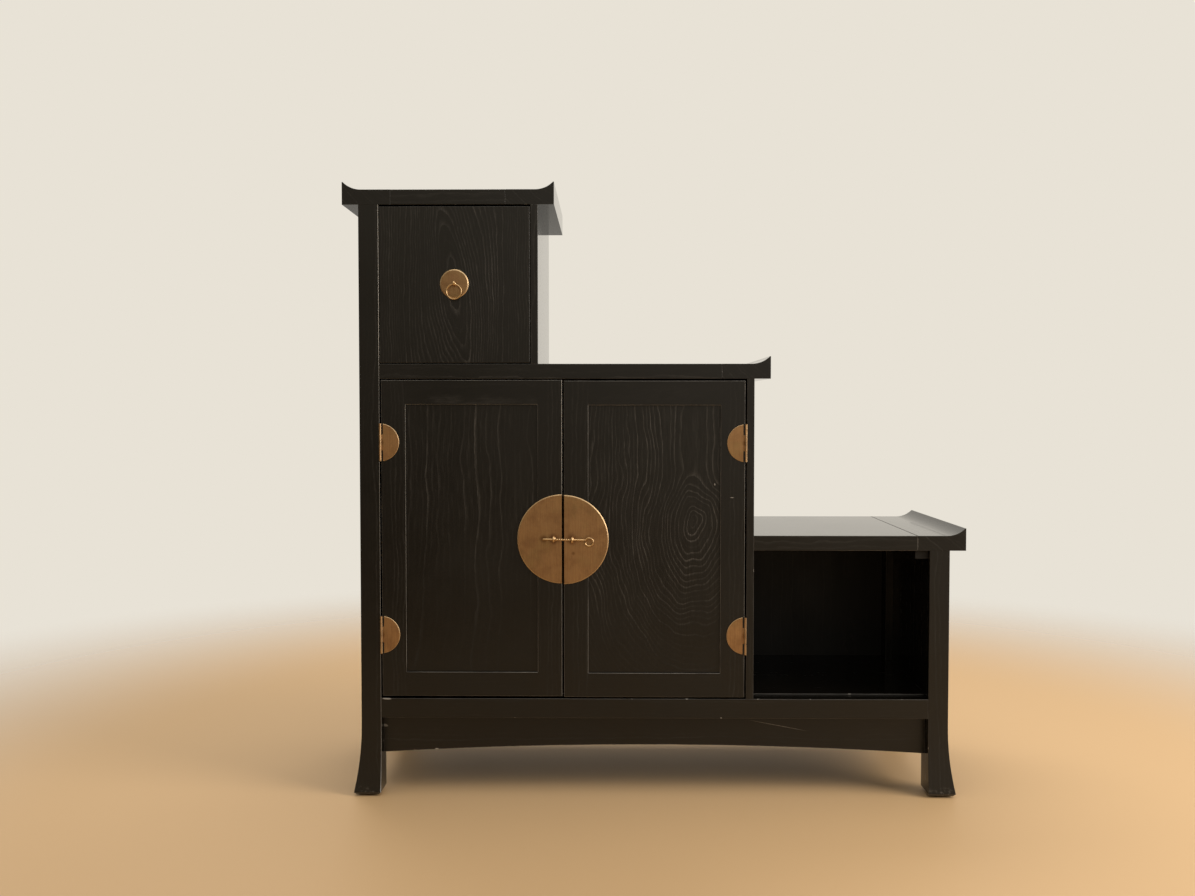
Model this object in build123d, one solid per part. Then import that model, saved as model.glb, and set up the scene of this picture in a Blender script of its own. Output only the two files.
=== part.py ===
from build123d import *
import math
import os

# Stepped chest: a drawer box, a two-door cabinet and an open compartment, each a step lower.
# Bench coordinates in mm: X from the outer face of the left legs, Y back from the front plane,
# Z up from the floor. keep() moves every piece from the bench to the part's own frame.

# Overall sizes
width = 990.0                # over the legs
depth = 350.0                # front plane to the back of the legs
board_t = 25.0               # thickness of the three top boards
upper_top = 1020.5           # top face of each board
middle_top = 730.5
lower_top = 442.5
overhang = 27.0              # boards beyond the sides
end_board_w = 81.0           # width of the end boards
tip_rise = 12.5              # upturned tip above the board
tip_run = 30.0               # length of the concave rise
tip_flat = 1.5
tongue_t = 8.0               # tongue between a board and its end board
tongue_l = 10.0
tongue_stop = 15.0           # tongue stays this far from front and back
ease = 0.8                   # eased arris on wooden edges

# Legs and feet
leg_w = 33.5
leg_d = 43.0
foot_flare = 12.5            # sideways at the bottom
foot_forward = 7.0           # forward at the bottom, front legs only
flare_top = 120.0            # height at which the feet start to curve
foot_chamfer = 4.0
glide_r = 11.0
glide_h = 3.0

# Frame of the carcass
rail_z0 = 133.0              # bottom rails
rail_z1 = 166.0
rail_d = 30.0
back_rail_drop = 15.0        # back rail hangs this far under the front rail's bottom
back_rail_d = 26.0
side_setback = 3.0           # side rails behind the outer face of the legs
side_panel_t = 8.0
side_panel_setback = 12.0
groove = 8.0                 # depth of every panel groove
tenon_t = 12.0
tenon_l = 18.0
side_tenon_l = 8.0
rail_shoulder = 4.0          # rail above and below its tenon
middle_rail_drop = 10.5      # middle side rail below the middle board
middle_rail_rise = 19.5      # and above it, where it guides the drawer
top_side_rail_h = 30.0
apron_t = 14.0
apron_setback = 20.0
side_apron_setback = 8.0
apron_end_z = 68.5           # lower edge at the legs
apron_mid_z = 82.3           # lower edge at the middle of the arch
side_apron_mid_z = 80.0
floor_t = 18.0
floor_lip = 2.0              # floor board above the front rail
batten_d = 20.0
batten_h = 15.0
back_t = 6.0
back_setback = 2.0           # back panels in from the back of the legs

# Drawer box, cabinet and compartment
upper_box_w = 300.0          # outer, over leg and side board
side_board_t = 12.5
divider_x1 = 662.0           # right face of the divider
divider_t = 12.5
shelf_z = 430.0              # top of the cabinet shelf
shelf_t = 16.0
shelf_setback = 14.0         # behind the doors
cleat_w = 12.0
cleat_h = 18.0
board_cleat_w = 22.0         # cleat under the lower board
board_cleat_h = 14.5
board_cleat_front = 9.0
stop_strip_w = 90.0          # strip under the middle board that the doors close against
stop_strip_d = 12.0
stop_strip_h = 12.0

# Doors
door_t = 20.0
door_side_gap = 3.0
door_centre_gap = 3.4
door_bottom_gap = 3.0
door_top_gap = 3.5
left_door_lift = 1.2         # the left door hangs this much higher than the right one
frame_w = 40.8
panel_recess = 4.0
panel_t = 8.0

# Drawer
drawer_side_gap = 1.2
drawer_bottom_gap = 1.8
drawer_top_gap = 3.2
drawer_front_t = 20.0
drawer_wall = 12.0
drawer_box_gap = 2.0         # drawer sides to the walls beside them
drawer_headroom = 35.7       # drawer sides to the underside of the top board
drawer_back_gap = 27.0       # drawer box to the back panel
drawer_bottom_t = 5.0
drawer_bottom_up = 8.0       # bottom board above the lower edge of the sides
drawer_groove = 6.0
drawer_back_drop = 6.0       # drawer back below the top of the sides
runner_t = 4.0
runner_w = 14.0
runner_setback = 14.0        # behind the drawer front
running_gap = 0.3
stop_w = 30.0
stop_h = 18.0

# Ring pull
pull_plate_r = 24.0
pull_plate_t = 1.5
pull_above_centre = 1.5
pull_hole_r = 3.0            # hole of the eyelet
pull_eye_wire = 1.3          # wire radius of the eyelet
ring_r = 12.3                # mean radius of the ring
ring_wire = 1.25

# Round lock plate with its pin
lock_plate_r = 75.0          # each half is a full half circle from its door's edge
lock_plate_t = 1.5
plate_bevel = 0.5
latch_half_span = 15.5       # eyelets either side of the door gap
latch_hole_r = 2.8
latch_eye_wire = 1.4
latch_rod_r = 1.8
latch_left = 34.0            # pin end left of the gap
latch_loop_x = 44.0          # loop centre right of the gap
latch_loop_r = 6.7           # mean radius of the curled end
latch_loop_drop = 3.0        # loop centre below the rod
latch_bend_r = 3.2           # bend between rod and loop
latch_loop_turn = 305.0      # degrees of the curl
collar_r = 3.2               # foot of every eyelet
collar_t = 0.9
eye_sink = 0.45              # eye sunk into its collar
shank_r = 1.5                # shank of every eyelet
shank_clearance = 0.05

# Hinges
hinge_disc_r = 31.5
hinge_leaf_t = 1.2
hinge_slit = 4.3             # from the hinge axis to the flat side of the disc
hinge_tab_t = 0.6
knuckle_r = 2.0
knuckle_gap = 0.3            # between knuckles, and behind the barrel at the middle knuckle
door_knuckle_l = 27.0
pin_r = 1.1
pin_clearance = 0.05
pin_head_t = 1.0
barrel_off = 0.15            # barrel in front of the front plane
post_leaf_t = 1.0
post_leaf_d = 20.0
hinge_in = 104.0             # hinge centres from the door's ends

# Derived planes
inner_left = leg_w
inner_right = width - leg_w
upper_wall = upper_box_w - side_board_t        # inner face of the upper side board
divider_x0 = divider_x1 - divider_t
upper_under = upper_top - board_t
middle_under = middle_top - board_t
lower_under = lower_top - board_t
floor_top = rail_z1 + floor_lip
floor_under = floor_top - floor_t
back_y1 = depth - back_setback
back_y0 = back_y1 - back_t

door_h = middle_under - rail_z1 - door_bottom_gap - door_top_gap
door_w = (divider_x0 - inner_left - 2 * door_side_gap - door_centre_gap) / 2
gap_centre = (inner_left + divider_x0) / 2
left_door_x0 = inner_left + door_side_gap
right_door_x0 = gap_centre + door_centre_gap / 2
right_door_z0 = rail_z1 + door_bottom_gap
left_door_z0 = right_door_z0 + left_door_lift
knuckle_y = -(knuckle_r + barrel_off)

drawer_x0 = inner_left + drawer_side_gap
drawer_x1 = upper_wall - drawer_side_gap
drawer_z0 = middle_top + drawer_bottom_gap
drawer_z1 = upper_under - drawer_top_gap
pull_x = (drawer_x0 + drawer_x1) / 2
pull_z = (drawer_z0 + drawer_z1) / 2 + pull_above_centre
pull_eye_r = pull_hole_r + 2 * pull_eye_wire
pull_eye_y = -(pull_plate_t + collar_t - eye_sink + pull_eye_r)

left_plate_z = left_door_z0 + door_h / 2
right_plate_z = right_door_z0 + door_h / 2
latch_eye_r = latch_hole_r + 2 * latch_eye_wire
latch_eye_y = -(lock_plate_t + collar_t - eye_sink + latch_eye_r)
latch_rod_z = (left_plate_z + right_plate_z) / 2

# The part's frame: origin on the floor, in the middle of the bounding box
front_reach = min(latch_eye_y - latch_eye_r, pull_eye_y - pull_eye_r)
to_frame = Location((-width / 2, -(depth + front_reach) / 2, 0))


def block(x0, x1, y0, y1, z0, z1):
    """Solid box between two corners."""
    return Pos((x0 + x1) / 2, (y0 + y1) / 2, (z0 + z1) / 2) * Box(x1 - x0, y1 - y0, z1 - z0)


def eased(piece, radius=ease):
    """Round every edge a little, as a hand plane does."""
    return fillet(piece.edges(), radius)


def rod_y(x, y0, y1, z, radius):
    """Round bar along Y."""
    return Pos(x, (y0 + y1) / 2, z) * Rot(90, 0, 0) * Cylinder(radius, y1 - y0)


def flip(piece):
    """Mirror from the left side of the chest to the right side."""
    return Pos(width, 0, 0) * mirror(piece, about=Plane.YZ)


def keep(node, *pieces):
    """Write one node, moved into the part's frame."""
    solids = [to_frame * s for piece in pieces for s in piece.solids()]
    shape = solids[0] if len(solids) == 1 else Compound(children=solids)
    export_step(shape, f"parts/{node}.step")


def profile_xz(points_wire, y0, y1):
    """Closed outline drawn in X and Z, extruded from y0 back to y1."""
    face = Plane.XZ * make_face(points_wire)
    return Pos(0, y0, 0) * extrude(face, amount=-(y1 - y0))


def profile_yz(points_wire, x0, x1):
    """Closed outline drawn in Y and Z, extruded from x0 to x1."""
    face = Plane.YZ * make_face(points_wire)
    return Pos(x0, 0, 0) * extrude(face, amount=x1 - x0)


# Legs
def foot_outline(size, flare, top):
    """Outline of a leg: straight inner side, outer side curving out by flare at the bottom."""
    foot = glide_h + foot_chamfer
    drop = flare_top - foot
    if flare > 0:
        bend = (drop ** 2 + flare ** 2) / (2 * flare)
        turn = math.asin(drop / bend)
        middle = (-bend * (1 - math.cos(turn / 2)), flare_top - bend * math.sin(turn / 2))
        outer = ThreePointArc((0, flare_top), middle, (-flare, foot))
    else:
        outer = Line((0, flare_top), (0, foot))
    rest = Polyline(
        (-flare, foot), (-flare + foot_chamfer, glide_h), (size - foot_chamfer, glide_h),
        (size, foot), (size, top), (0, top), (0, flare_top))
    return [outer, rest]


def leg(top, forward):
    """Left leg standing at the front plane; forward is how far its foot comes out."""
    front = profile_xz(foot_outline(leg_w, foot_flare, top), -forward - 1, leg_d)
    side = profile_yz(foot_outline(leg_d, forward, top), -foot_flare - 1, leg_w)
    return front & side


def back_leg(top):
    """Left leg standing at the back, with its foot curving out sideways only."""
    return Pos(0, depth, 0) * mirror(leg(top, 0), about=Plane.XZ)


def housed(blank, pieces):
    """Leg with its mortises and grooves cut, then its four arrises eased from the top down."""
    for piece in pieces:
        blank -= piece
    upright = blank.edges().filter_by(Axis.Z)
    return fillet(upright.group_by(lambda edge: edge.bounding_box().max.Z)[-1], ease)


# Tenons are kept in lists, so that a leg loses exactly what its rails put in
front_tenon_y = (rail_d - tenon_t) / 2
side_rail_tenon_x = (side_setback + leg_w - tenon_t) / 2
panel_x0 = side_panel_setback
panel_x1 = side_panel_setback + side_panel_t
side_y0 = leg_d
side_y1 = depth - leg_d
back_rail_z0 = rail_z0 - back_rail_drop
back_rail_y0 = depth - back_rail_d
back_tenon_y = back_rail_y0 + (back_rail_d - tenon_t) / 2


def cross_rail(y0, y1, z0, z1, tenon_y):
    """Rail from leg to leg with a tenon at each end."""
    body = eased(block(inner_left, inner_right, y0, y1, z0, z1))
    tenon = block(inner_left - tenon_l, inner_right + tenon_l, tenon_y, tenon_y + tenon_t,
                  z0 + rail_shoulder, z1 - rail_shoulder)
    return body + tenon


def side_rail(z0, z1):
    """Rail of the left side, between the front and the back leg, with stub tenons."""
    body = eased(block(side_setback, leg_w, side_y0, side_y1, z0, z1))
    tenon = block(side_rail_tenon_x, side_rail_tenon_x + tenon_t, side_y0 - side_tenon_l,
                  side_y1 + side_tenon_l, z0 + rail_shoulder, z1 - rail_shoulder)
    return body + tenon


def side_panel(z0, z1):
    """Panel of the left side, housed in the rails and the legs around it."""
    return block(panel_x0, panel_x1, side_y0 - groove, side_y1 + groove, z0 - groove, z1 + groove)


def arch(length, end_z, mid_z, top):
    """Apron outline: flat top, lower edge arched from the ends up to the middle."""
    lower = ThreePointArc((0, end_z), (length / 2, mid_z), (length, end_z))
    rest = Polyline((length, end_z), (length, top), (0, top), (0, end_z))
    return [lower, rest]


front_rail = cross_rail(0, rail_d, rail_z0, rail_z1, front_tenon_y)
back_rail = cross_rail(back_rail_y0, depth, back_rail_z0, floor_under, back_tenon_y)

middle_rail_z0 = middle_under - middle_rail_drop
middle_rail_z1 = middle_top + middle_rail_rise
left_rails = [
    side_rail(rail_z0, rail_z1),
    side_rail(middle_rail_z0, middle_rail_z1),
    side_rail(upper_under - top_side_rail_h, upper_under),
]
left_panels = [
    side_panel(rail_z1, middle_rail_z0),
    side_panel(middle_rail_z1, upper_under - top_side_rail_h),
]
right_rails = [side_rail(rail_z0, rail_z1), side_rail(lower_under - top_side_rail_h, lower_under)]
right_panel = side_panel(rail_z1, lower_under - top_side_rail_h)

front_apron = profile_xz(
    arch(inner_right - inner_left, apron_end_z, apron_mid_z, rail_z0),
    apron_setback, apron_setback + apron_t)
front_apron = fillet(front_apron.faces().sort_by(Axis.Y)[0].edges(), ease)
front_apron = Pos(inner_left, 0, 0) * front_apron
side_apron = profile_yz(
    arch(side_y1 - side_y0, apron_end_z, side_apron_mid_z, rail_z0),
    side_apron_setback, side_apron_setback + apron_t)
side_apron = fillet(side_apron.faces().sort_by(Axis.X)[0].edges(), ease)
side_apron = Pos(0, side_y0, 0) * side_apron

left_tenons = [front_rail, back_rail] + left_rails + left_panels
right_tenons = [front_rail, back_rail] + right_rails + [right_panel]
front_leg_left = housed(leg(upper_under, foot_forward), left_tenons)
front_leg_right = housed(leg(lower_under, foot_forward), right_tenons)
back_leg_left = housed(back_leg(upper_under), left_tenons)
back_leg_right = housed(back_leg(lower_under), right_tenons)
for panel in left_panels:
    left_rails = [rail - panel for rail in left_rails]
right_rails = [rail - right_panel for rail in right_rails]

glide_x = leg_w / 2
glides = [
    Pos(x, y, glide_h / 2) * Cylinder(glide_r, glide_h)
    for x in (glide_x, width - glide_x)
    for y in (leg_d / 2, depth - leg_d / 2)
]

floor_board = eased(block(inner_left, inner_right, rail_d, back_y0, floor_under, floor_top))
floor_batten = block(inner_left, inner_right, rail_d, rail_d + batten_d, floor_under - batten_h,
                     floor_under)
divider = (
    block(divider_x0, divider_x1, 0, rail_d, rail_z1, middle_under)
    + block(divider_x0, divider_x1, rail_d, back_y0, floor_top, middle_under)
    + block(divider_x0, divider_x1, back_y0, depth, floor_under, middle_under))
divider = fillet(divider.edges().filter_by(Axis.Z).group_by(Axis.Y)[0], ease)


# Top boards
def plain_board(x0, x1, top, tongue_left, tongue_right):
    """Main board with a stopped tongue towards each end board it meets."""
    body = eased(block(x0, x1, 0, depth, top - board_t, top))
    middle = top - board_t / 2
    tongue = block(x0 - tongue_l * tongue_left, x1 + tongue_l * tongue_right, tongue_stop,
                   depth - tongue_stop, middle - tongue_t / 2, middle + tongue_t / 2)
    return body + tongue


def end_board(x0, top):
    """Right-hand end board from x0, its outer edge swept up to a tip."""
    x1 = x0 + end_board_w
    rise_x1 = x1 - tip_flat
    rise_x0 = rise_x1 - tip_run
    bend = (tip_run ** 2 + tip_rise ** 2) / (2 * tip_rise)
    half = math.asin(tip_run / bend) / 2
    middle = (rise_x0 + bend * math.sin(half), top + bend * (1 - math.cos(half)))
    rise = ThreePointArc((rise_x0, top), middle, (rise_x1, top + tip_rise))
    rest = Polyline(
        (rise_x1, top + tip_rise), (x1, top + tip_rise), (x1, top - board_t),
        (x0, top - board_t), (x0, top), (rise_x0, top))
    body = profile_xz([rise, rest], 0, depth)
    front_and_back = body.faces().sort_by(Axis.Y)
    edges = front_and_back[0].edges() + front_and_back[-1].edges()
    return fillet(edges, ease / 2)


seam_left = end_board_w - overhang
seam_upper = upper_box_w + overhang - end_board_w
seam_middle = divider_x1 + overhang - end_board_w
seam_lower = width + overhang - end_board_w

top_board = plain_board(seam_left, seam_upper, upper_top, True, True)
top_end_right = end_board(seam_upper, upper_top) - top_board
top_end_left = Pos(upper_box_w, 0, 0) * mirror(end_board(seam_upper, upper_top), about=Plane.YZ)
top_end_left -= top_board
middle_board = plain_board(inner_left, seam_middle, middle_top, False, True)
middle_end = end_board(seam_middle, middle_top) - middle_board
lower_board = plain_board(divider_x1, seam_lower, lower_top, False, True)
lower_end = end_board(seam_lower, lower_top) - lower_board
upper_side_board = eased(block(upper_wall, upper_box_w, 0, depth, middle_top, upper_under))

# Back panels, shelf and cleats
upper_back = block(inner_left, upper_wall, back_y0, back_y1, middle_top, upper_under)
cabinet_back = block(inner_left, divider_x0, back_y0, back_y1, floor_under, middle_under)
compartment_back = block(divider_x1, inner_right, back_y0, back_y1, floor_under, lower_under)
shelf_front = door_t + shelf_setback
shelf = eased(block(inner_left, divider_x0, shelf_front, back_y0, shelf_z - shelf_t, shelf_z))
shelf_cleats = [
    block(x, x + cleat_w, shelf_front, back_y0, shelf_z - shelf_t - cleat_h, shelf_z - shelf_t)
    for x in (inner_left, divider_x0 - cleat_w)
]
board_cleat = block(inner_right - board_cleat_w, inner_right, board_cleat_front, back_y0,
                    lower_under - board_cleat_h, lower_under)
door_stop = block(gap_centre - stop_strip_w / 2, gap_centre + stop_strip_w / 2,
                  door_t + running_gap, door_t + running_gap + stop_strip_d,
                  middle_under - stop_strip_h, middle_under)

# Drawer: front, two sides, back and bottom
box_x0 = inner_left + drawer_box_gap
box_x1 = upper_wall - drawer_box_gap
box_z0 = middle_top + runner_t + running_gap
box_z1 = upper_under - drawer_headroom
box_y1 = back_y0 - drawer_back_gap
bottom_z0 = box_z0 + drawer_bottom_up
bottom_z1 = bottom_z0 + drawer_bottom_t
drawer_bottom = block(
    box_x0 + drawer_wall - drawer_groove, box_x1 - drawer_wall + drawer_groove,
    drawer_front_t - drawer_groove, box_y1, bottom_z0, bottom_z1)
drawer_front = eased(block(drawer_x0, drawer_x1, 0, drawer_front_t, drawer_z0, drawer_z1))
drawer_front -= drawer_bottom
drawer_sides = [
    block(x, x + drawer_wall, drawer_front_t, box_y1, box_z0, box_z1) - drawer_bottom
    for x in (box_x0, box_x1 - drawer_wall)
]
drawer_back = block(
    box_x0 + drawer_wall, box_x1 - drawer_wall, box_y1 - drawer_wall, box_y1, bottom_z1,
    box_z1 - drawer_back_drop)
runners = [
    block(x, x + runner_w, drawer_front_t + runner_setback, back_y0, middle_top,
          middle_top + runner_t)
    for x in (inner_left, upper_wall - runner_w)
]
drawer_stop = block(pull_x - stop_w / 2, pull_x + stop_w / 2, box_y1 + running_gap, back_y0,
                    middle_top, middle_top + stop_h)


# Brass
def eyelet(x, z, eye_y, plate_y, hole_r, wire_r, shank_end):
    """Eye of round wire across X at eye_y, on a collar on the plate, with a shank going back."""
    eye = Pos(x, eye_y, z) * Rot(0, 90, 0) * Torus(hole_r + wire_r, wire_r)
    collar = rod_y(x, plate_y - collar_t, plate_y, z, collar_r)
    shank = rod_y(x, plate_y, shank_end, z, shank_r)
    return eye + collar + shank


def shank_hole(x, z, y1):
    """Hole for an eyelet's shank through plate and wood."""
    return rod_y(x, -pull_plate_t - lock_plate_t, y1, z, shank_r + shank_clearance)


def round_plate(x, z, radius, thickness):
    """Disc on the front plane with a bevelled rim."""
    disc = rod_y(x, -thickness, 0, z, radius)
    rim = disc.edges().group_by(Axis.Y)[0]
    return chamfer(rim, plate_bevel)


pull_plate = round_plate(pull_x, pull_z, pull_plate_r, pull_plate_t)
pull_plate -= shank_hole(pull_x, pull_z, drawer_front_t)
pull_eyelet = eyelet(pull_x, pull_z, pull_eye_y, -pull_plate_t, pull_hole_r, pull_eye_wire,
                     drawer_front_t)
drawer_front -= shank_hole(pull_x, pull_z, drawer_front_t)
ring_pivot_z = pull_z - (pull_hole_r - ring_wire - running_gap)
pull_ring = (Pos(pull_x, pull_eye_y, ring_pivot_z - ring_r) * Rot(90, 0, 0)
             * Torus(ring_r, ring_wire))


def half_plate(edge_x, centre_z, side):
    """Half disc from the door's edge towards side: -1 on the left door, 1 on the right one."""
    disc = round_plate(edge_x, centre_z, lock_plate_r, lock_plate_t)
    far_x = edge_x + side * lock_plate_r
    half = disc & block(min(edge_x, far_x), max(edge_x, far_x), -lock_plate_t, 0,
                        centre_z - lock_plate_r, centre_z + lock_plate_r)
    return half - shank_hole(gap_centre + side * latch_half_span, centre_z, door_t)


def latch_rod():
    """Rod through both eyelets, its right end bent up a little and curled down into a loop."""
    loop_centre = Vector(gap_centre + latch_loop_x, latch_rod_z - latch_loop_drop)
    centres = latch_loop_r + latch_bend_r
    bend_turn = math.acos((latch_loop_drop + latch_bend_r) / centres)
    bend_centre = loop_centre + centres * Vector(-math.sin(bend_turn), math.cos(bend_turn))

    def on_circle(centre, radius, angle):
        return centre + radius * Vector(math.cos(angle), math.sin(angle))

    bend_start = -math.pi / 2
    loop_start = math.pi / 2 + bend_turn
    loop_turn = math.radians(latch_loop_turn)
    rod_end = on_circle(bend_centre, latch_bend_r, bend_start)
    loop_join = on_circle(loop_centre, latch_loop_r, loop_start)
    path = Curve() + [
        Line((gap_centre - latch_left, latch_rod_z), rod_end),
        ThreePointArc(rod_end, on_circle(bend_centre, latch_bend_r, bend_start + bend_turn / 2),
                      loop_join),
        ThreePointArc(loop_join, on_circle(loop_centre, latch_loop_r, loop_start - loop_turn / 2),
                      on_circle(loop_centre, latch_loop_r, loop_start - loop_turn)),
    ]
    path = Pos(0, latch_eye_y, 0) * (Plane.XZ * path)
    section = Plane(path @ 0, z_dir=path % 0) * Circle(latch_rod_r)
    return sweep(section, path=path)


def hinge(side):
    """Round hinge split by its barrel, its axis at X 0 and height 0, door to +X (side 1) or -X."""
    half_h = hinge_disc_r
    axis_z = half_h - pin_head_t
    middle = door_knuckle_l / 2
    post_x = -door_side_gap / 2
    bore = pin_r + pin_clearance

    def barrel(z0, z1, radius):
        return Pos(0, knuckle_y, (z0 + z1) / 2) * Cylinder(radius, z1 - z0)

    post_leaf = block(post_x, post_x + post_leaf_t, knuckle_y, post_leaf_d, -axis_z, axis_z)
    post_leaf -= block(post_x, post_x + post_leaf_t, knuckle_y, knuckle_gap,
                       -middle - knuckle_gap, middle + knuckle_gap)
    post_leaf += barrel(middle + knuckle_gap, axis_z, knuckle_r)
    post_leaf += barrel(-axis_z, -middle - knuckle_gap, knuckle_r)
    post_leaf -= barrel(-half_h, half_h, bore)

    disc = Rot(90, 0, 0) * Cylinder(hinge_disc_r, hinge_leaf_t)
    disc = chamfer(disc.edges().group_by(Axis.Y)[0], plate_bevel)
    disc = Pos(0, -hinge_leaf_t / 2, 0) * disc
    disc &= block(hinge_slit, half_h + 1, -hinge_leaf_t, 0, -half_h, half_h)
    door_leaf = disc + barrel(-middle, middle, knuckle_r)
    door_leaf += block(knuckle_gap, hinge_slit, -hinge_tab_t, 0, -middle, middle)
    door_leaf -= barrel(-half_h, half_h, bore)

    pin = barrel(-axis_z, axis_z, pin_r)
    for z in (axis_z, -half_h):
        pin += barrel(z, z + pin_head_t, knuckle_r)
    pieces = [post_leaf, door_leaf, pin]
    return pieces if side > 0 else [mirror(piece, about=Plane.YZ) for piece in pieces]


def door(x0, z0, side):
    """Framed door from its lower left corner; side is 1 where the hinge is at the left."""
    x1 = x0 + door_w
    z1 = z0 + door_h
    inner_x0 = x0 + frame_w
    inner_x1 = x1 - frame_w
    inner_z0 = z0 + frame_w
    inner_z1 = z1 - frame_w
    frame = eased(block(x0, x1, 0, door_t, z0, z1)
                  - block(inner_x0, inner_x1, 0, door_t, inner_z0, inner_z1))
    panel_y1 = panel_recess + panel_t

    def in_groove(low, high):
        return block(inner_x0 - groove, inner_x1 + groove, panel_recess, panel_y1, low, high)

    panel = in_groove(inner_z0 - groove, inner_z1 + groove)
    rails = [
        (frame & block(inner_x0, inner_x1, 0, door_t, low, high))
        + in_groove(low + ease, high - ease) - panel
        for low, high in ((z0, inner_z0), (inner_z1, z1))
    ]
    stiles = [
        (frame & block(low, high, 0, door_t, z0, z1)) - panel - rails[0] - rails[1]
        for low, high in ((x0, inner_x0), (inner_x1, x1))
    ]
    return stiles[::side], rails, panel


os.makedirs("parts", exist_ok=True)

keep("leg_front_left", front_leg_left)
keep("leg_front_right", flip(front_leg_right))
keep("leg_back_left", back_leg_left)
keep("leg_back_right", flip(back_leg_right))
keep("foot_glides", *glides)
keep("front_bottom_rail", front_rail)
keep("back_bottom_rail", back_rail)
keep("left_side_rails", *left_rails)
keep("left_side_panels", *left_panels)
keep("right_side_rails", *[flip(rail) for rail in right_rails])
keep("right_side_panel", flip(right_panel))
keep("front_apron", front_apron)
keep("left_apron", side_apron)
keep("right_apron", flip(side_apron))
keep("floor_board", floor_board)
keep("floor_batten", floor_batten)
keep("divider_board", divider)
keep("cabinet_shelf", shelf)
keep("shelf_cleats", *shelf_cleats)
keep("middle_board", middle_board)
keep("middle_board_end", middle_end)
keep("upper_side_board", upper_side_board)
keep("top_board", top_board)
keep("top_board_end_left", top_end_left)
keep("top_board_end_right", top_end_right)
keep("lower_board", lower_board)
keep("lower_board_end", lower_end)
keep("lower_board_cleat", board_cleat)
keep("door_stop", door_stop)
keep("upper_back_panel", upper_back)
keep("cabinet_back_panel", cabinet_back)
keep("compartment_back_panel", compartment_back)
keep("drawer_runners", *runners)
keep("drawer_stop", drawer_stop)

keep("drawer_front", drawer_front)
keep("drawer_sides", *drawer_sides)
keep("drawer_back", drawer_back)
keep("drawer_bottom", drawer_bottom)
keep("pull_plate", pull_plate)
keep("pull_eyelet", pull_eyelet)
keep("pull_ring", pull_ring)
keep("latch_pin", latch_rod())

for name, x0, z0, side in (("left", left_door_x0, left_door_z0, 1),
                           ("right", right_door_x0, right_door_z0, -1)):
    (hinge_stile, meeting_stile), rails, panel = door(x0, z0, side)
    plate_z = z0 + door_h / 2
    plate_edge = gap_centre - side * door_centre_gap / 2
    latch_x = gap_centre - side * latch_half_span
    hole = shank_hole(latch_x, plate_z, door_t)
    keep(f"{name}_door_hinge_stile", hinge_stile)
    keep(f"{name}_door_meeting_stile", meeting_stile - hole)
    keep(f"{name}_door_rails", *rails)
    keep(f"{name}_door_panel", panel)
    keep(f"{name}_lock_plate", half_plate(plate_edge, plate_z, -side))
    keep(f"{name}_latch_eyelet", eyelet(latch_x, plate_z, latch_eye_y, -lock_plate_t,
                                        latch_hole_r, latch_eye_wire, door_t))
    axis_x = inner_left + door_side_gap / 2 if side > 0 else divider_x0 - door_side_gap / 2
    post_leaves, door_leaves, pins = [], [], []
    for z in (z0 + hinge_in, z0 + door_h - hinge_in):
        place = Pos(axis_x, 0, z)
        post_leaf, door_leaf, pin = hinge(side)
        post_leaves.append(place * post_leaf)
        door_leaves.append(place * door_leaf)
        pins.append(place * pin)
    keep(f"{name}_hinge_post_leaves", *post_leaves)
    keep(f"{name}_hinge_discs", *door_leaves)
    keep(f"{name}_hinge_pins", *pins)
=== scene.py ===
import math

import bmesh
import bpy
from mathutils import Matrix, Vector, noise


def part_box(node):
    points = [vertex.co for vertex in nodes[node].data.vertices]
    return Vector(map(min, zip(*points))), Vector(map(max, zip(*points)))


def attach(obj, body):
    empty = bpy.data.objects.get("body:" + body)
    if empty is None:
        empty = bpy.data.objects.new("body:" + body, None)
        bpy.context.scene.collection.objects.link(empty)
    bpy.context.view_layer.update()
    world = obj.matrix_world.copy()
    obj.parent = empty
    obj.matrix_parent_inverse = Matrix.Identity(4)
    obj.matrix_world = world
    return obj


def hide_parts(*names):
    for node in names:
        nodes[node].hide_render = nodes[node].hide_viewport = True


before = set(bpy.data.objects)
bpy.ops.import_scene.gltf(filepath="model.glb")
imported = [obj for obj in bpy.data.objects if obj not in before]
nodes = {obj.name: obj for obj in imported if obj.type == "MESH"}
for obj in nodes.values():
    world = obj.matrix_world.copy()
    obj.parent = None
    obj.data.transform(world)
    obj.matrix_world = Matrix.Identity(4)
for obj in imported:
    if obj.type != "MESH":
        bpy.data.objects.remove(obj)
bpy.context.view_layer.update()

mm = 0.001
print("frame loaded:", len(nodes), "nodes")


# helpers

def linear(hexColour):
    # sRGB hex to the linear values that shaders take
    parts = [int(hexColour[i:i + 2], 16) / 255 for i in (1, 3, 5)]
    return tuple(c / 12.92 if c <= 0.04045 else ((c + 0.055) / 1.055) ** 2.4 for c in parts) + (1.0,)


def addNode(tree, kind, inputs=(), **settings):
    # kind: its type, which for a shader node goes without ShaderNode before it
    # inputs: in the sockets' order (MapRange: value, from low, from high, to low, to high) or by name
    # or number; each is a value, an output to link, or a node, for its first enabled output
    node = tree.nodes.new(kind if "Node" in kind else "ShaderNode" + kind)
    for name, value in settings.items():
        setattr(node, name, value)
    for key, value in inputs.items() if isinstance(inputs, dict) else enumerate(inputs):
        if isinstance(value, bpy.types.Node):
            value = next(output for output in value.outputs if output.enabled)
        if isinstance(value, bpy.types.NodeSocket):
            tree.links.new(value, node.inputs[key])
        else:
            node.inputs[key].default_value = value
    return node


smooth = {"interpolation_type": "SMOOTHSTEP"}      # of MapRange nodes


def newMaterial(name):
    material = bpy.data.materials.new(name)
    material.use_nodes = True
    material.node_tree.nodes.clear()
    return material, material.node_tree


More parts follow.
